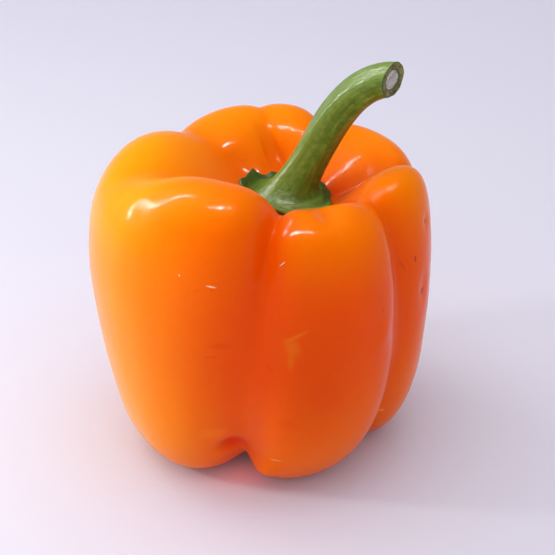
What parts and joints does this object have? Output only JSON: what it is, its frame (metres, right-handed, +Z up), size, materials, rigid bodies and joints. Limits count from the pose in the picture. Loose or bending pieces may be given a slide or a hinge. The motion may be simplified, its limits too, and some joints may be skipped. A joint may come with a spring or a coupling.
{
  "type": "bell pepper",
  "caption": "Blocky bell pepper standing upright on its lobes, with a deep well at the top, a toothed calyx and a bent, cut stem.",
  "frame": {"origin": "under the middle of the fruit's box, on the surface that it stands on", "axes": "+Z up through the stem, -Y towards the front, +X to the right, where the stem leans"},
  "size_m": [0.0889, 0.0871, 0.1098],
  "materials": {
    "fruit": "smooth waxy orange skin, glossy",
    "calyx": "dark green, satin, finely veined",
    "stem": "light green, satin, ribbed lengthwise, with a dry pale cut"
  },
  "bodies": {
    "root": {"fruit": "fruit", "calyx": "calyx", "stem": "stem"}
  },
  "joints": []
}
